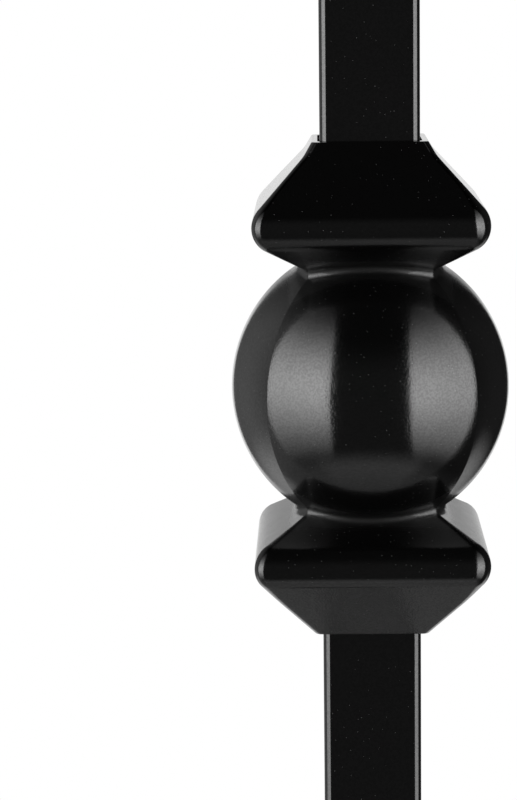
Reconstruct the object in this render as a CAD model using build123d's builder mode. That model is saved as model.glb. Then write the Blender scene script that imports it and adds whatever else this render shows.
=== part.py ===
from build123d import *
import math
import os

os.makedirs("parts", exist_ok=True)

# Driving dimensions, in millimetres and degrees.
# Square bar with a round dowel turned on its upper end
baluster_length = 1117.6
bar_width = 12.7
bar_corner_radius = 1.1
dowel_length = 26.5
dowel_diameter = 11.4
dowel_tip_chamfer = 1.7
shoulder_chamfer = 0.6

# Places of the knuckles: the middle of the lower one above the bottom end, and from there up
lower_knuckle_height = 442.9
knuckle_spacing = 457.2

# Sphere of a knuckle: four gores, each turned about an upright axis behind the middle. Its
# radius is the gores' reach; from top to bottom they are a little flatter than that. It sits
# a little below the middle of the casting.
sphere_radius = 18.0
sphere_drop = 0.3
gore_profile_radius = 18.7
gore_axis_offset = 2.8
gore_ridge_radius = 0.5

# Square flared collar at each end of a knuckle, with heights from the middle of the casting.
# Only the upper one has a lip under its rim.
rim_height = 31.8
rim_width = 14.7
rim_edge_radius = 0.2
lip_height = 1.7
lip_flare = 1.0
lip_blend_radius = 5.0
crown_height = 20.85
crown_width = 33.7
crown_edge_radius = 3.45
underside_angle = 31.0
collar_corner_radius = 1.2
waist_fillet_radius = 0.8

# Bore of a knuckle: it seats on the bar's flats and is relieved at both mouths
mouth_clearance = 0.28
mouth_depth = 3.0

# Two places closer than this count as one
same_place = 0.0001


def is_on_a_corner(edge):
    """Say whether an edge runs up one of the four corners, midway between front and side."""
    middle = edge.center()
    return abs(abs(middle.X) - abs(middle.Y)) < same_place


# The square bar has rolled, rounded corners, and its dowel goes up into the handrail
shoulder_height = baluster_length - dowel_length
with BuildPart() as bar:
    with BuildSketch():
        RectangleRounded(bar_width, bar_width, bar_corner_radius)
    extrude(amount=shoulder_height)
    chamfer(bar.faces().sort_by(Axis.Z)[-1].edges(), shoulder_chamfer)
    with BuildSketch(Plane.XY.offset(shoulder_height)):
        Circle(dowel_diameter / 2)
    extrude(amount=dowel_length)
    chamfer(bar.faces().sort_by(Axis.Z)[-1].edges(), dowel_tip_chamfer)

bar.part.label = "bar"
export_step(bar.part, "parts/bar.step")

# One gore: its middle line is an arc a little flatter than the sphere's own circle, and turning
# it about an axis behind the middle makes it flatter from side to side too. It ends flat
# inside the collars, where it has drawn in to the bar's width.
cap_reach = bar_width / 2
cap_height = math.sqrt(gore_profile_radius**2 - (cap_reach + gore_profile_radius - sphere_radius) ** 2)
with BuildPart() as gore:
    with BuildSketch(Plane.XZ):
        with BuildLine():
            ThreePointArc((cap_reach, -cap_height), (sphere_radius, 0), (cap_reach, cap_height))
            Polyline(
                (cap_reach, cap_height),
                (-gore_axis_offset, cap_height),
                (-gore_axis_offset, -cap_height),
                (cap_reach, -cap_height),
            )
        make_face()
    revolve(axis=Axis((-gore_axis_offset, 0, 0), (0, 0, 1)))

# What lies inside all four gores is the faceted sphere, with four softened upright ridges
with BuildPart() as sphere:
    for quarter in range(4):
        facing_gore = gore.part.rotate(Axis.Z, 90 * quarter)
        add(facing_gore, mode=Mode.ADD if quarter == 0 else Mode.INTERSECT)
    fillet(sphere.edges().filter_by(is_on_a_corner), gore_ridge_radius)

# A collar's outline runs from the rim over the crown and down the underside, on into the
# sphere, as far as a root inside the bore
root_width = bar_width - 2 * bar_corner_radius
root_drop = (crown_width - root_width) / 2 * math.tan(math.radians(underside_angle))
rim_point = (rim_width / 2, rim_height)
lip_point = (rim_width / 2 + lip_flare, rim_height - lip_height)
crown_point = (crown_width / 2, crown_height)
root_point = (root_width / 2, crown_height - root_drop)


def collar_with(*right_side):
    """Make a collar that has the same outline from the front and from the side."""
    left_side = [(-across, height) for across, height in reversed(right_side)]
    with BuildSketch() as outline:
        with BuildLine():
            Polyline(*right_side, *left_side, close=True)
        make_face()
        root, crown, *lip, rim = outline.vertices().group_by(Axis.Y)
        fillet(crown, crown_edge_radius)
        for lip_corners in lip:
            fillet(lip_corners, lip_blend_radius)

    # Pushing the outline through both ways and keeping what is shared gives mitred corners
    with BuildPart() as collar:
        with BuildSketch(Plane.XZ):
            add(outline.sketch)
        extrude(amount=crown_width, both=True)
        with BuildSketch(Plane.YZ):
            add(outline.sketch)
        extrude(amount=crown_width, both=True, mode=Mode.INTERSECT)
        fillet(collar.edges().filter_by(is_on_a_corner), collar_corner_radius)
        fillet(collar.faces().sort_by(Axis.Z)[-1].edges(), rim_edge_radius)
    return collar.part


upper_collar = collar_with(rim_point, lip_point, crown_point, root_point)
upright_lower_collar = collar_with(rim_point, crown_point, root_point)

# The casting: a sphere and two collars in one, with a fillet round each waist. The square
# bore seats on the bar and opens a little at each mouth.
mouth_width = bar_width + 2 * mouth_clearance
mouth_corner_radius = bar_corner_radius + mouth_clearance
with BuildPart() as knuckle:
    add(sphere.part.moved(Location((0, 0, -sphere_drop))))
    for end_collar in (upper_collar, mirror(upright_lower_collar, about=Plane.XY, mode=Mode.PRIVATE)):
        add(end_collar)
        fillet(knuckle.edges(Select.NEW), waist_fillet_radius)
    with BuildSketch():
        RectangleRounded(bar_width, bar_width, bar_corner_radius)
    extrude(amount=rim_height, both=True, mode=Mode.SUBTRACT)
    for mouth_floor in (rim_height - mouth_depth, -rim_height):
        with BuildSketch(Plane.XY.offset(mouth_floor)):
            RectangleRounded(mouth_width, mouth_width, mouth_corner_radius)
        extrude(amount=mouth_depth, mode=Mode.SUBTRACT)

# Both knuckles are the same casting, slid on to the bar at their own heights
for name, height in (
    ("lower_knuckle", lower_knuckle_height),
    ("upper_knuckle", lower_knuckle_height + knuckle_spacing),
):
    with BuildPart() as placed:
        add(knuckle.part.moved(Location((0, 0, height))))
    placed.part.label = name
    export_step(placed.part, f"parts/{name}.step")
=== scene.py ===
# %% [markdown]
# This baluster is an upright of a stair railing: a square steel bar with a round dowel at its
# upper end, and two iron castings, the knuckles, slid on to it. Each knuckle is a faceted ball
# between two flared square collars. All of it wears a satin black powder coat.
# The engineering model is loaded first and stays fixed. It already has the right pieces at the
# right size, so what is left for this scene is to skin them finely, paint and light them.

# %% Load the engineering model
import math

import bpy
import numpy as np
from mathutils import Matrix, Vector


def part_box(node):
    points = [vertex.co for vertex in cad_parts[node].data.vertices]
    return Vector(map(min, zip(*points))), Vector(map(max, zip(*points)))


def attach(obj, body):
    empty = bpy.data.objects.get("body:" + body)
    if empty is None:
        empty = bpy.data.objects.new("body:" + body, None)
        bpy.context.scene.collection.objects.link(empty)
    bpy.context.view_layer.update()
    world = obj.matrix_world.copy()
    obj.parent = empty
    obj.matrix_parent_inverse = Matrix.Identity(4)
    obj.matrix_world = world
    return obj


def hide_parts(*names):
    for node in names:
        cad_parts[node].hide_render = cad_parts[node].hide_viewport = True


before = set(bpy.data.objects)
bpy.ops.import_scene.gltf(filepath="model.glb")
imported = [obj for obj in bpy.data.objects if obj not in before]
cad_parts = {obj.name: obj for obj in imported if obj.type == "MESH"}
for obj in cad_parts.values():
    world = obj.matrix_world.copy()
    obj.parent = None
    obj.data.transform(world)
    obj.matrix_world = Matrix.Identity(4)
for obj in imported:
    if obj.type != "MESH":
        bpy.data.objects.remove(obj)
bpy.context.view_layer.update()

print("pieces of the engineering model:", sorted(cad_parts))

# %% [markdown]
# A long lens keeps a tall thin object from looking pinched, and it is what a product
# photographer would use. The camera stands a little above the upper knuckle and looks down on
# it, which opens the view on to the tops of the collars. Its place is given from the middle of
# the ball, because that is what it is aimed at, and the angles are set one by one: a camera
# that is aimed with a Track To constraint can't lean.

# %% Camera on the upper knuckle
MM = 0.001
sensor_size = 36.0
lens_length = 120.32
camera_offset = Vector((-6.41, -343.61, 56.25)) * MM
look_down = 0.1684
look_left = 0.0237
lean = -0.0121


def middle_of(node):
    """Middle of a node's box, in metres."""
    low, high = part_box(node)
    return (low + high) / 2


camera = bpy.data.objects.new("camera", bpy.data.cameras.new("camera"))
camera.data.sensor_width = sensor_size
camera.data.lens = lens_length
camera.matrix_world = (
    Matrix.Translation(middle_of("upper_knuckle") + camera_offset)
    @ Matrix.Rotation(look_left, 4, "Z")
    @ Matrix.Rotation(math.pi / 2 - look_down, 4, "X")
    @ Matrix.Rotation(lean, 4, "Z")
)
bpy.context.scene.collection.objects.link(camera)
bpy.context.scene.camera = camera
print("camera at", [round(place, 3) for place in camera.matrix_world.translation])

# %% [markdown]
# Bar and knuckles are alike in one way: every level section is a square with rounded corners,
# or something close to it. So each piece can be skinned over a stack of rings, as a boat is
# planked over its frames. A stack of rings gives full control over where the points go, where
# a Bevel modifier would fail on the narrow waist of a knuckle. All rings share one set of
# directions, crowded towards the four corners, where the surface turns fastest.

# %% Directions that every ring shares
steps_to_corner = 24
eighth_turn = math.pi / 4

along_face = np.arange(-steps_to_corner, steps_to_corner) / steps_to_corner
within_face = np.sign(along_face) * eighth_turn * (1 - (1 - abs(along_face)) ** 2)
direction = np.concatenate([within_face + quarter * 2 * eighth_turn for quarter in range(4)])
from_middle = np.tile(abs(within_face), 4)
from_corner = eighth_turn - from_middle
print(len(direction), "points to a ring")

# %% [markdown]
# A ring is a list of distances from the axis, one for each direction. A square ring runs
# straight as far as its corner, and there it turns along a small arc about a point on the
# diagonal. The same arc rounds the ridges of the ball, so it has a function of its own.

# %% Square rings with rounded corners
def with_corner(side, side_end, diagonal, radius):
    """Distances along a side, and past its end those of an arc centred out on the diagonal."""
    across = diagonal * np.sin(from_corner)
    arc = diagonal * np.cos(from_corner) + np.sqrt(np.maximum(radius**2 - across**2, 0))
    return np.where(from_middle < side_end, side, arc)


def square_ring(half_width, corner_radius):
    """Distances from the axis to a square with rounded corners."""
    straight = half_width - corner_radius
    side = half_width / np.cos(from_middle)
    side_end = np.arctan2(straight, half_width)
    return with_corner(side, side_end, math.sqrt(2) * straight, corner_radius)


print("a ring 10 mm square reaches", round(float(square_ring(5.0, 1.0).max()), 2), "mm out")

# %% [markdown]
# The skin itself is one mesh. Four neighbouring points make a face, row after row. A solid bar
# is closed by a flat face at each end. A knuckle has a hole through it, so its last ring is
# joined to its first, inside the bore. Faces are shaded smooth, and only edges that turn by
# more than a set angle stay sharp.

# %% Skin a stack of rings
sharp_angle = math.radians(35)


def skin(name, rings, height, through=False):
    """Make a mesh over rings, rows of complex numbers: distance from the axis + level * 1j."""
    grid = np.array([np.broadcast_to(ring, direction.shape) for ring in rings])
    rows, columns = grid.shape
    places = [grid.real * np.cos(direction), grid.real * np.sin(direction), grid.imag]
    places = np.stack(places, axis=-1).reshape(-1, 3)
    place_of = np.arange(rows * columns).reshape(rows, columns)
    upper = place_of if through else place_of[:-1]
    lower = np.roll(place_of, -1, axis=0) if through else place_of[1:]
    faces = [upper, lower, np.roll(lower, -1, axis=1), np.roll(upper, -1, axis=1)]
    faces = np.stack(faces, axis=-1).reshape(-1, 4).tolist()
    if not through:
        faces += [place_of[0].tolist(), place_of[-1][::-1].tolist()]
    mesh = bpy.data.meshes.new(name)
    mesh.from_pydata((places * MM + Vector((0, 0, height))).tolist(), [], faces)
    mesh.shade_smooth()
    mesh.set_sharp_from_angle(angle=sharp_angle)
    piece = bpy.data.objects.new(name, mesh)
    bpy.context.scene.collection.objects.link(piece)
    print(name, "has", 2 * len(faces), "triangles or a little more")
    return piece


# %% [markdown]
# The bar is drawn steel, half an inch square, and its corners come rounded from the mill. Its
# upper end is turned down to a dowel, which goes into a hole in the handrail, so it has a
# chamfer to lead it in. Six rings say all of that, from the tip of the dowel to the sawn end.

# %% Bar and dowel
bar_width = 12.7
bar_corner_radius = 1.1
dowel_length = 26.5
dowel_diameter = 11.4
dowel_tip_chamfer = 1.7
shoulder_chamfer = 0.6

bar_low, bar_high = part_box("bar")
tip = (bar_high.z - bar_low.z) / MM
shoulder = tip - dowel_length
bar_section = square_ring(bar_width / 2, bar_corner_radius)
top_section = square_ring(bar_width / 2 - shoulder_chamfer, bar_corner_radius - shoulder_chamfer)
bar_rings = [
    dowel_diameter / 2 - dowel_tip_chamfer + tip * 1j,
    dowel_diameter / 2 + (tip - dowel_tip_chamfer) * 1j,
    dowel_diameter / 2 + shoulder * 1j,
    top_section + shoulder * 1j,
    bar_section + (shoulder - shoulder_chamfer) * 1j,
    bar_section,
]
bar = skin("painted_bar", bar_rings, bar_low.z)

# %% [markdown]
# The ball isn't a ball. It is what four gores leave between them: each is turned about an
# upright axis a little behind the middle, so it is flatter from side to side than up and down,
# and it meets the next one in an upright ridge. On a level section each gore is an arc about a
# point behind the middle, and the ridge is a small arc between two of them. The skin lies a
# hundredth of a millimetre inside the solid, whose mesh cuts the curves a little short, so the
# painted ball is never the wider of the two.

# %% Ball sections
sphere_radius = 17.99
sphere_drop = 0.3
gore_profile_radius = 18.7
gore_axis_offset = 2.8
gore_ridge_radius = 0.5


def gore_ring(reach):
    """Distances from the axis to the ball, on the level where its gores reach out that far."""
    turn = reach + gore_axis_offset
    behind = gore_axis_offset * np.cos(from_middle)
    side = np.sqrt(turn**2 - (gore_axis_offset * np.sin(from_middle)) ** 2) - behind
    inner = turn - gore_ridge_radius
    ridge = (np.sqrt(2 * inner**2 - gore_axis_offset**2) - gore_axis_offset) / 2
    touch = turn * (ridge + gore_axis_offset) - inner * gore_axis_offset
    side_end = np.arctan2(turn * ridge, touch)
    return with_corner(side, side_end, math.sqrt(2) * ridge, gore_ridge_radius)


def ball_point(latitude):
    """A point of the ball for each direction, as distance + level * 1j. Latitude is in radians."""
    reach = gore_profile_radius * np.cos(latitude) - (gore_profile_radius - sphere_radius)
    return gore_ring(reach) + gore_profile_radius * np.sin(latitude) * 1j


print("the ball is", round(2 * ball_point(0.0).real.max(), 2), "mm across its ridges")

# %% [markdown]
# A collar starts as an outline, drawn on one side of the axis. A curve object could draw it,
# but then its points would have to be read back before rings can pass through them. As complex
# numbers they are ready at once: a corner is rounded by turning one number about another, and
# the same arc, given a whole ring of numbers, serves for the waist later on.

# %% Arcs and straight runs
def arc(centre, start, end, steps):
    """Points from start to end about a centre, the short way round."""
    turn = np.angle((end - centre) / (start - centre))
    turned = [np.exp(1j * turn * step / steps) for step in range(steps + 1)]
    return [centre + (start - centre) * part for part in turned]


def rounded_corner(before, corner, after, radius, steps):
    """Points of the arc that rounds a corner of an outline."""
    back = (before - corner) / abs(before - corner)
    onward = (after - corner) / abs(after - corner)
    half_opening = abs(np.angle(onward / back)) / 2
    middle_line = (back + onward) / abs(back + onward)
    centre = corner + middle_line * radius / math.sin(half_opening)
    reach = radius / math.tan(half_opening)
    return arc(centre, corner + back * reach, corner + onward * reach, steps)


def straight_run(start, end, steps):
    """Points strictly between start and end, closer together near both of them."""
    shares = [(1 - math.cos(math.pi * step / steps)) / 2 for step in range(1, steps)]
    return [start + (end - start) * share for share in shares]


print("a quarter turn in 3 steps passes", np.round(arc(0, 1, 1j, 3), 2))

# %% [markdown]
# The collar's outline is straight runs with rounded corners: a narrow rim, a long slope out to
# the crown and a flatter slope back in under it, towards a root on the axis. The upper collar
# of the casting has a small lip under its rim as well, and the lower one has none, so one
# function draws both, given the corners between rim and crown.

# %% Outlines of the two collars
rim_height = 31.8
rim_width = 14.7
rim_edge_radius = 0.2
rim_steps = 4
lip_height = 1.7
lip_flare = 1.0
lip_blend_radius = 5.0
lip_steps = 6
crown_height = 20.85
crown_width = 33.7
crown_edge_radius = 3.45
crown_steps = 24
slope_steps = 10
underside_angle = math.radians(31)

rim = rim_width / 2 + rim_height * 1j
lip = rim + lip_flare - lip_height * 1j
crown = crown_width / 2 + crown_height * 1j
root = crown - crown.real / math.cos(underside_angle) * np.exp(1j * underside_angle)


def collar_outline(*corners):
    """Points from the rim over the crown, given the corners between those two."""
    stops = [rim.real / 2 + rim.imag * 1j, rim, *corners, crown, root]
    radii = [rim_edge_radius, *[lip_blend_radius for corner in corners], crown_edge_radius]
    steps = [rim_steps, *[lip_steps for corner in corners], crown_steps]
    points = []
    for before, corner, after, radius, count in zip(stops, stops[1:], stops[2:], radii, steps):
        bend = rounded_corner(before, corner, after, radius, count)
        if points:
            points += straight_run(points[-1], bend[0], slope_steps)
        points += bend
    return points


lipped_outline = collar_outline(lip)
plain_outline = collar_outline()
print("the collar is", round(2 * max(point.real for point in lipped_outline), 2), "mm wide")

# %% [markdown]
# A collar's corners are rounded by a cutter that follows the sloping edge. Cut level, such a
# round looks tighter the more the face leans, so each ring gets its own corner radius, worked
# out from the lean of the outline there. A radius on the level cuts the corner back by a set
# share of itself, so the helper finds that cut first and turns it into a radius.

# %% Corner radius of a leaning face
collar_corner_radius = 1.2
steepest_lean = math.radians(60)


def corner_radius_at(lean):
    """Radius, on the level, of a collar's corner where its faces lean that far from upright."""
    half_turn = np.arccos(np.sqrt((1 + np.sin(lean) ** 2) / 2))
    cut_back = collar_corner_radius * math.sqrt(2) * (1 - np.cos(half_turn)) / np.cos(lean)
    return cut_back / (math.sqrt(2) - 1)


long_slope = crown - lip
slope_radius = corner_radius_at(math.atan2(long_slope.real, -long_slope.imag))
print("corner radius on the long slope", round(float(slope_radius), 2), "mm")

# %% [markdown]
# At the crown the foundry has ground the four corners by hand, a little more here and a little
# less there, and they catch the light differently. A Bevel modifier with weights could do one
# radius per corner but not ease it in. Here four radii say it, and a soft step brings them in
# over a few millimetres above and below the crown. Along the tiny round of the rim the outline
# turns too fast for its lean to mean much, so those rings take the lean of the slope below.

# %% Rings of a collar
ground_corner_radii = [2.0, 1.9, 1.5, 2.5]
ground_reach = 5.0
ground_corner_level = crown_height + 1.2

corner_number = (direction // (2 * eighth_turn)).astype(int) % 4
ground_radius = np.array(ground_corner_radii)[corner_number]


def smooth(share):
    """A soft step from 0 to 1."""
    share = np.clip(share, 0, 1)
    return share * share * (3 - 2 * share)


def collar_rings(outline):
    """Square rings over an outline, each with the corner radius that its lean asks for."""
    step = np.diff(outline)
    lean = np.arctan2(abs(step.real), abs(step.imag))
    lean = np.concatenate([lean[:1], (lean[1:] + lean[:-1]) / 2, lean[-1:]])
    lean[: rim_steps + 1] = lean[rim_steps + 1]
    radii = corner_radius_at(np.minimum(lean, steepest_lean))
    rings = []
    for point, radius in zip(outline, radii):
        ground = smooth(1 - abs(point.imag - ground_corner_level) / ground_reach)
        corner = radius + (ground_radius - radius) * ground
        rings.append(square_ring(point.real, corner) + point.imag * 1j)
    return rings


print("corners ground at the crown to", sorted(ground_corner_radii), "mm")

# %% [markdown]
# Between the underside of a collar and the ball there is a narrow groove, and on a casting its
# bottom is never sharp. Its fillet is the path of a small ball bearing rolled round the waist.
# For each direction the bearing is slid up the ball until it just touches the underside: the
# place is found by halving an interval again and again, for all directions at once.

# %% Rolling a fillet round the waist
waist_fillet_radius = 0.8
lowest_latitude = 0.5
highest_latitude = 1.2
halvings = 40
small_angle = 0.0001
under_steps = 8
waist_steps = 12


def bearing_at(latitude):
    """Middle of the bearing where it rests on the ball at that latitude."""
    upward = ball_point(latitude + small_angle) - ball_point(latitude - small_angle)
    return ball_point(latitude) - 1j * upward / abs(upward) * waist_fillet_radius


def waist_rings(under_start, ball_level):
    """Rings from the underside's outer end round the waist, and the ball's latitude there."""
    half_root = bar_width / 2
    root_level = crown.imag - (crown.real - half_root) * math.tan(underside_angle)
    under_end = square_ring(half_root, corner_radius_at(steepest_lean)) + root_level * 1j
    under_line = (under_end - under_start) / abs(under_end - under_start)
    under_normal = under_line * 1j
    low = np.full(direction.shape, lowest_latitude)
    high = np.full(direction.shape, highest_latitude)
    for halving in range(halvings):
        latitude = (low + high) / 2
        gap = ((bearing_at(latitude) + ball_level - under_start) * under_normal.conjugate()).real
        low = np.where(gap > waist_fillet_radius, latitude, low)
        high = np.where(gap > waist_fillet_radius, high, latitude)
    bearing = bearing_at(latitude) + ball_level
    under_touch = bearing - under_normal * waist_fillet_radius
    waist_arc = arc(bearing, under_touch, ball_point(latitude) + ball_level, waist_steps)
    print("the waist is", round(2 * min(point.real.min() for point in waist_arc), 2), "mm wide")
    return [*straight_run(under_start, under_touch, under_steps), *waist_arc], latitude


# %% [markdown]
# Now half a knuckle is a list of rings: up the mouth of the bore, over the rim, down the collar,
# round the waist and down the ball to its middle. The lower half has a plain collar and stands
# upside down, and for a complex number that is its conjugate. The two castings are the same,
# so the same rings are skinned twice, each time at the height of its own solid.

# %% Both knuckles
mouth_clearance = 0.28
mouth_depth = 3.0
ball_steps = 36

mouth = square_ring(bar_width / 2 + mouth_clearance, bar_corner_radius + mouth_clearance)


def half_knuckle(outline, ball_level):
    """Rings from inside the bore, over a collar with that outline and down to mid-ball."""
    collar = collar_rings(outline)
    waist, latitude = waist_rings(collar[-1], ball_level)
    shares = [1 - step / ball_steps for step in range(1, ball_steps)]
    return [
        bar_section + (rim_height - mouth_depth) * 1j,
        mouth + (rim_height - mouth_depth) * 1j,
        mouth + rim_height * 1j,
        *collar,
        *waist,
        *[ball_point(latitude * share) + ball_level for share in shares],
    ]


upper_half = half_knuckle(lipped_outline, -1j * sphere_drop)
lower_half = [np.conj(ring) for ring in reversed(half_knuckle(plain_outline, 1j * sphere_drop))]
knuckle_rings = [*upper_half, ball_point(0 * direction) - 1j * sphere_drop, *lower_half]
knuckles = {
    node: skin("painted_" + node, knuckle_rings, middle_of(node).z, through=True)
    for node in ("lower_knuckle", "upper_knuckle")
}

# %% [markdown]
# Paint dust doesn't reach well into a narrow groove, so round the waists the coat is thin and
# dull. In the very bottom of the groove it runs together in the oven and leaves a fat, softly
# shining bead. A gradient in the shader could place both, but the groove follows two shapes at
# once. So how deep a point lies is worked out here, from its distance to the axis and its level,
# and kept on the mesh as two attributes that the paint can read.

# %% Depth in the grooves
groove_start = 7.5
groove_end = 14.5
groove_width = 19.0
groove_depth = 8.0
groove_top = 21.5
groove_top_fade = 1.5
bead_width = 10.7
bead_fade = 0.7

for node, piece in knuckles.items():
    places = np.zeros(3 * len(piece.data.vertices))
    piece.data.vertices.foreach_get("co", places)
    places = (places.reshape(-1, 3) - middle_of(node)) / MM
    reach = np.maximum(abs(places[:, 0]), abs(places[:, 1]))
    level = abs(places[:, 2])
    on_ball = smooth((level - groove_start) / (groove_end - groove_start))
    below_top = smooth((groove_top - level) / groove_top_fade)
    on_collar = smooth((groove_width - reach) / groove_depth) * below_top
    recess = np.where(level < groove_end, on_ball, on_collar)
    bead = recess * smooth((bead_width - reach) / bead_fade)
    for name, share in (("recess", recess), ("bead", bead)):
        piece.data.attributes.new(name, "FLOAT", "POINT").data.foreach_set("value", share)
    print(piece.name, "has", int((recess > 0.5).sum()), "points deep in its grooves")

# %% [markdown]
# Shader maths reads best as Python. This class wraps the output of a node, so that a sum on it
# adds a Math node, and its one method for nodes adds any other kind: its settings are set
# first, because some of them decide which sockets the node has.

# %% Write shader maths as Python
class Wire:
    """The output socket of a shader node."""

    def __init__(self, tree, socket):
        self.tree = tree
        self.socket = socket

    @classmethod
    def node(cls, tree, kind, settings=None, output=None, **inputs):
        """Add a node, set it up, feed its sockets with values or wires, and return one output."""
        made = tree.nodes.new(kind)
        for name, value in (settings or {}).items():
            setattr(made, name, value)
        for name, value in inputs.items():
            named = [s for s in made.inputs if name in (s.identifier, s.name.replace(" ", "_"))]
            if isinstance(value, cls):
                tree.links.new(value.socket, named[0])
            else:
                named[0].default_value = value
        return cls(tree, next((s for s in made.outputs if output in (None, s.identifier)), None))

    def math(self, operation, first, second=0.0):
        """Add a Math node."""
        settings = {"operation": operation}
        return Wire.node(self.tree, "ShaderNodeMath", settings, Value=first, Value_001=second)

    def __add__(self, other):
        return self.math("ADD", self, other)

    def __radd__(self, other):
        return self.math("ADD", other, self)

    def __sub__(self, other):
        return self.math("SUBTRACT", self, other)

    def __rsub__(self, other):
        return self.math("SUBTRACT", other, self)

    def __mul__(self, other):
        return self.math("MULTIPLY", self, other)

    def __rmul__(self, other):
        return self.math("MULTIPLY", other, self)

    def __truediv__(self, other):
        return self.math("DIVIDE", self, other)

    def __pow__(self, other):
        return self.math("POWER", self, other)

    def __rpow__(self, other):
        return self.math("POWER", other, self)

    def __lt__(self, other):
        return self.math("LESS_THAN", self, other)

    def __abs__(self):
        return self.math("ABSOLUTE", self)

    def ease(self, start, end):
        """0 before start, 1 after end, with a soft step between them."""
        return Wire.node(
            self.tree, "ShaderNodeMapRange", {"interpolation_type": "SMOOTHSTEP"},
            Value=self, From_Min=start, From_Max=end,
        )


# %% [markdown]
# Everything that varies over the paint is measured in millimetres, so that each size can be
# checked against the real thing with a ruler. The mesh's own coordinates are scaled up for
# that, and a noise is asked for by the width of its patches. Such coordinates run straight
# through the piece, so unlike an unwrapped picture they have no seams.

# %% Places and noise in millimetres
def grey(level):
    """An opaque colour with no hue."""
    return (level, level, level, 1.0)


def place_in_mm(tree):
    """Where a point of a piece lies, in millimetres."""
    place = Wire.node(tree, "ShaderNodeTexCoord", output="Object")
    settings = {"operation": "SCALE"}
    return Wire.node(tree, "ShaderNodeVectorMath", settings, Vector=place, Scale=1 / MM)


def noise(place, size, detail=2.0):
    """Noise from 0 to 1 whose patches are that many millimetres across."""
    return Wire.node(place.tree, "ShaderNodeTexNoise", Vector=place, Scale=1 / size, Detail=detail)


# %% [markdown]
# The paint is as black as paint gets, and here and there a speck of pale dust is baked in. A
# noise with a high threshold would give flecks of any shape. Dust is round, so it is whatever
# lies close enough to one of the scattered points of a Voronoi texture.

# %% Black with baked-in dust
paint_colour = 0.0007
dust_colour = 0.09
dust_spacing = 0.7
dust_radius = 0.04


def dust_and_colour(place):
    """Where dust lies, as 0 or 1, and the colour of paint and dust together."""
    speck = Wire.node(place.tree, "ShaderNodeTexVoronoi", Vector=place, Scale=1 / dust_spacing)
    dust = speck < dust_radius / dust_spacing
    colour = Wire.node(
        place.tree, "ShaderNodeMix", {"data_type": "RGBA"}, "Result_Color",
        Factor_Float=dust, A_Color=grey(paint_colour), B_Color=grey(dust_colour),
    )
    return dust, colour


print("specks of dust are up to", 2 * dust_radius, "mm across")

# %% [markdown]
# The castings were dressed with a file before they were painted, and in patches its upright
# scratches still show through. A Wave texture would rule them too evenly. This is plain noise
# whose upright coordinate is squeezed, which draws every patch of it out lengthwise, and a
# second, much wider noise picks the places that the file has touched.

# %% File marks
file_spacing = 0.55
file_stretch = 0.12
filed_patch_size = 7.0
filed_patch_edge = (0.5, 0.62)


def file_marks(place):
    """Height of the file's scratches, from 0 to 1."""
    upright = Wire.node(
        place.tree, "ShaderNodeVectorMath", {"operation": "MULTIPLY"},
        Vector=place, Vector_001=(1, 1, file_stretch),
    )
    filed = noise(place, filed_patch_size).ease(*filed_patch_edge)
    return noise(upright, file_spacing) * filed


print("scratches are about", file_spacing, "by", round(file_spacing / file_stretch, 1), "mm")

# %% [markdown]
# Powder coat is a plastic paint, sprayed dry and baked until it flows. It follows the metal,
# so a casting still shows through it, and it skins over with a fine pebbled texture. It could
# be one rough surface, but lamps keep crisp edges in the real one while its dark parts stay
# soft, so a smooth coat layer lies over a duller one. Fine noise in the weight of that coat
# gives the grain. In the grooves the coat fades, and the bead at their bottom has most of it
# back. Pebbles, slow waves and file marks are heights in millimetres for one Bump node. The
# bar is smoother than the castings, so each grade of the paint is given its own depths.

# %% Satin black powder coat
grain_size = 0.26
pebble_size = 1.1
wave_detail = 1.0
paint_shine = 0.5
paint_roughness = 0.08
pebble_roughness = 0.05
dust_roughness = 0.3
recess_roughness = 0.14
bead_roughness = 0.12
coat_roughness = 0.09
thinnest_coat = 0.6
coat_grain = (0.36, 0.64)
bead_coat = 0.75


def powder_coat(name, grain_depth, wave_depth, wave_length, file_depth):
    """Black paint over metal whose unevenness has that depth and length, in millimetres."""
    material = bpy.data.materials.new(name)
    material.use_nodes = True
    tree = material.node_tree
    tree.nodes.clear()
    place = place_in_mm(tree)
    grain = noise(place, grain_size)
    pebbles = noise(place, pebble_size)
    waves = noise(place, wave_length, wave_detail)
    recess = Wire.node(tree, "ShaderNodeAttribute", {"attribute_name": "recess"}, "Fac")
    bead = Wire.node(tree, "ShaderNodeAttribute", {"attribute_name": "bead"}, "Fac")
    dust, colour = dust_and_colour(place)
    roughness = paint_roughness + pebble_roughness * pebbles + dust_roughness * dust
    coat = thinnest_coat + (1 - thinnest_coat) * grain.ease(*coat_grain)
    height = (grain + pebbles) * grain_depth + waves * wave_depth + file_marks(place) * file_depth
    shader = Wire.node(
        tree, "ShaderNodeBsdfPrincipled",
        Base_Color=colour,
        Roughness=roughness + recess_roughness * recess + bead_roughness * bead,
        Specular_IOR_Level=paint_shine,
        Coat_Weight=coat * (1 - recess + bead_coat * bead),
        Coat_Roughness=coat_roughness,
        Normal=Wire.node(tree, "ShaderNodeBump", Distance=MM, Height=height),
    )
    Wire.node(tree, "ShaderNodeOutputMaterial", Surface=shader)
    print(name, "made of", len(tree.nodes), "nodes")
    return material


bar_paint = powder_coat(
    "bar_powder_coat", grain_depth=0.004, wave_depth=0.01, wave_length=9.0, file_depth=0.0
)
knuckle_paint = powder_coat(
    "knuckle_powder_coat", grain_depth=0.012, wave_depth=0.025, wave_length=5.0, file_depth=0.01
)

# %% [markdown]
# Each new mesh now takes its paint, rides with the one body of the model and stands for its
# solid, which stays in the file but isn't shown.

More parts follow.
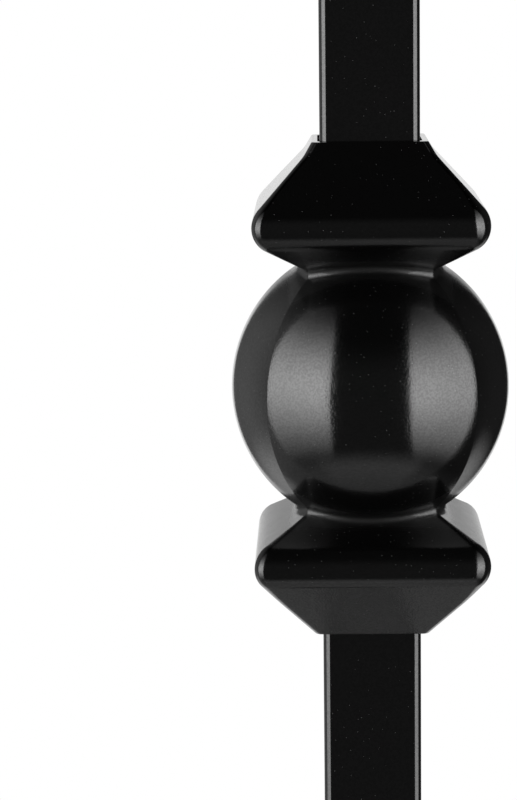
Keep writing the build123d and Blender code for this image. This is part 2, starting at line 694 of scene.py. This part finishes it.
# %% Paint the pieces and tie them to the model
for piece, node, slot, paint in (
    (bar, "bar", "bar_powder_coat", bar_paint),
    (knuckles["lower_knuckle"], "lower_knuckle", "knuckle_powder_coat", knuckle_paint),
    (knuckles["upper_knuckle"], "upper_knuckle", "knuckle_powder_coat", knuckle_paint),
):
    piece.data.materials.append(paint)
    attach(piece, "root")
    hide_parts(node)
    print(piece.name, "stands for", node)

# %% [markdown]
# A black glossy thing is lit by what it mirrors. Lamps could stand round this one, but a world
# whose light depends on the direction looked in gives every part of a tall object the same
# light. So the studio is drawn as a picture on the sky, and its two rulers are in degrees: a
# compass that is 0 straight in front of the object, where the camera stands, and counts up to
# the right, and the height above the horizon. Below the horizon that height is negative, so a
# depth is kept as well.

# %% Directions in the studio
world = bpy.data.worlds.new("studio")
world.use_nodes = True
bpy.context.scene.world = world
tree = world.node_tree
tree.nodes.clear()
looking = Wire.node(tree, "ShaderNodeTexCoord", output="Generated")
x, y, z = [
    Wire.node(tree, "ShaderNodeSeparateXYZ", output=axis, Vector=looking) for axis in "XYZ"
]
degree = math.pi / 180
compass = x.math("ARCTAN2", x, 0 - y) / degree
sideways = abs(compass)
height = z.math("ARCSINE", z) / degree
depth = 0 - height
print("directions made of", len(tree.nodes), "nodes")

# %% [markdown]
# Nearly all the light comes from two tall soft boxes, left and right of the camera. A box is
# brightest a little above the horizon and dims evenly above and below, down to its foot. The
# left one's inner edge stands nearly straight up in front of the object, the right one's bends
# a little outwards at both ends, and both are sharp, because these edges are what draws the
# dark band down the ball. The right box is a little lower, taller and weaker than the left one:
# x is -1 at the far left and 1 at the far right, so a little of it is mixed into each number.

# %% Soft boxes
box_strength = 3.8
box_weakening = 0.07
box_dimming = 0.16
box_dimming_span = (40.0, 80.0)
box_shift = 0.014
box_inner_edge = 0.475
box_inner_softness = 0.012
box_edge_lean = 0.12
box_edge_turn = 0.14
box_outer_edge = (78.5, 82.0)
box_height = 3.4
box_drop = 1.9
box_half_height = 28.5
box_growth = 1.6
box_foot = (-55.0, -39.0)

off_centre = abs(x + box_shift) + (box_edge_lean - box_edge_turn * x) * z * z
in_box = off_centre.ease(box_inner_edge - box_inner_softness, box_inner_edge + box_inner_softness)
past_box = sideways.ease(*box_outer_edge)
up_box = (height - box_height + box_drop * x) / (box_half_height + box_growth * x)
box_level = box_strength * (1 - box_weakening * x)
box_level = box_level * (1 - box_dimming * sideways.ease(*box_dimming_span))
boxes = box_level * in_box * (1 - past_box) * 2 ** (0 - up_box**2) * height.ease(*box_foot)
print("soft boxes brought it to", len(tree.nodes), "nodes")

# %% [markdown]
# The room between and around the boxes is laid in from front to back, each part mixed over the
# one before. First comes the dim space in front, behind the camera, which is darker still
# towards the ceiling. A patch of the ground there is lit by the boxes. The scene could do without
# it, but the lowest part of the ball mirrors it and would come out much darker.

# %% Space and ground in front
front_level = 0.07
ceiling_level = 0.019
ceiling_rise = (10.0, 45.0)
ground_level = 0.34
ground_depth = (42.0, 62.0)
ground_side = (46.0, 62.0)
ground_side_fade = 0.6
ground_right_fade = 0.25

front = front_level + (ceiling_level - front_level) * height.ease(*ceiling_rise)
side_fade = ground_side_fade + ground_right_fade * x
ground = ground_level * (1 - side_fade * sideways.ease(*ground_side)) * depth.ease(*ground_depth)
front = front + ground
print("and the front to", len(tree.nodes), "nodes")

# %% [markdown]
# Past the boxes there is a wall on each side, bright on the left and dark on the right, that
# fades backwards, upwards and towards its foot. Then come the backdrop, and below the horizon
# the white table behind. Both are pale, and the object's rims mirror them. Rays from the
# camera see plain white instead, which is the background of a product picture, and so the
# white never has to come from more light on the object.

# %% Walls, backdrop and table
wall_left = 0.38
wall_right = 0.048
wall_span = (-60.0, 60.0)
wall_back_fade = 0.7
wall_back = (110.0, 160.0)
wall_top = (25.0, 70.0)
wall_foot_fade = 0.35
wall_foot = (30.0, 60.0)
backdrop_level = 0.8
backdrop_edge = (160.0, 164.0)
table_level = 0.95
table_edge = (0.26, 0.44)
table_slant = 0.13
table_depth = (19.0, 45.0)

wall = wall_left + (wall_right - wall_left) * compass.ease(*wall_span)
wall = wall * (1 - wall_back_fade * sideways.ease(*wall_back)) * (1 - height.ease(*wall_top))
wall = wall * (1 - wall_foot_fade * depth.ease(*wall_foot))
wall = wall + (backdrop_level - wall) * sideways.ease(*backdrop_edge)
around = front + (wall - front) * past_box
on_table = (y - table_slant * x).ease(*table_edge) * depth.ease(*table_depth)
around = around + (table_level - around) * on_table
studio = boxes + around
seen_directly = Wire.node(tree, "ShaderNodeLightPath", output="Is Camera Ray")
strength = studio + (1 - studio) * seen_directly
background = Wire.node(tree, "ShaderNodeBackground", Color=grey(1.0), Strength=strength)
Wire.node(tree, "ShaderNodeOutputWorld", Surface=background)
print("the whole studio is made of", len(tree.nodes), "nodes")

# %% [markdown]
# The floor is a pale disc at the object's foot. It could be an endless plane, but its horizon
# would cut across a view from the side, so it ends, and its paint fades out before that.

# %% Disc of the floor
floor_radius = 0.75
floor_points = 96

floor_angles = [2 * math.pi * point / floor_points for point in range(floor_points)]
floor_rim = [
    (floor_radius * math.cos(angle), floor_radius * math.sin(angle), bar_low.z)
    for angle in floor_angles
]
floor_mesh = bpy.data.meshes.new("floor")
floor_mesh.from_pydata(floor_rim, [], [range(floor_points)])
floor = bpy.data.objects.new("floor", floor_mesh)
bpy.context.scene.collection.objects.link(floor)
print("floor radius", floor_radius, "m")

# %% [markdown]
# Fading is a Mix Shader between paint and nothing, driven by the distance from the foot, so
# from any side the object stands on something and yet no edge of it shows. Matt paint alone
# comes out grey here, because little light falls from above, so the camera sees it with a glow
# added. The object's shadow still falls on the paint, and the glow lights nothing.

# %% Floor paint that fades out
floor_fade_start = 0.1
floor_colour = 0.66
floor_glow = 0.55

floor_paint = bpy.data.materials.new("floor")
floor_paint.use_nodes = True
tree = floor_paint.node_tree
tree.nodes.clear()
place = Wire.node(tree, "ShaderNodeTexCoord", output="Object")
far = Wire.node(tree, "ShaderNodeVectorMath", {"operation": "LENGTH"}, "Value", Vector=place)
matt_paint = Wire.node(tree, "ShaderNodeBsdfDiffuse", Color=grey(floor_colour))
glow = Wire.node(tree, "ShaderNodeEmission", Color=grey(floor_glow))
glowing_paint = Wire.node(tree, "ShaderNodeAddShader", Shader=matt_paint, Shader_001=glow)
seen_directly = Wire.node(tree, "ShaderNodeLightPath", output="Is Camera Ray")
near_paint = Wire.node(
    tree, "ShaderNodeMixShader", Fac=seen_directly, Shader=matt_paint, Shader_001=glowing_paint
)
nothing = Wire.node(tree, "ShaderNodeBsdfTransparent")
faded = Wire.node(
    tree, "ShaderNodeMixShader",
    Fac=far.ease(floor_fade_start, floor_radius), Shader=near_paint, Shader_001=nothing,
)
Wire.node(tree, "ShaderNodeOutputMaterial", Surface=faded)
floor_mesh.materials.append(floor_paint)
print("floor paint made of", len(tree.nodes), "nodes")

# %% [markdown]
# Last comes the colour transform, which is the plain one.

# %% Colour transform
bpy.context.scene.view_settings.view_transform = "Standard"
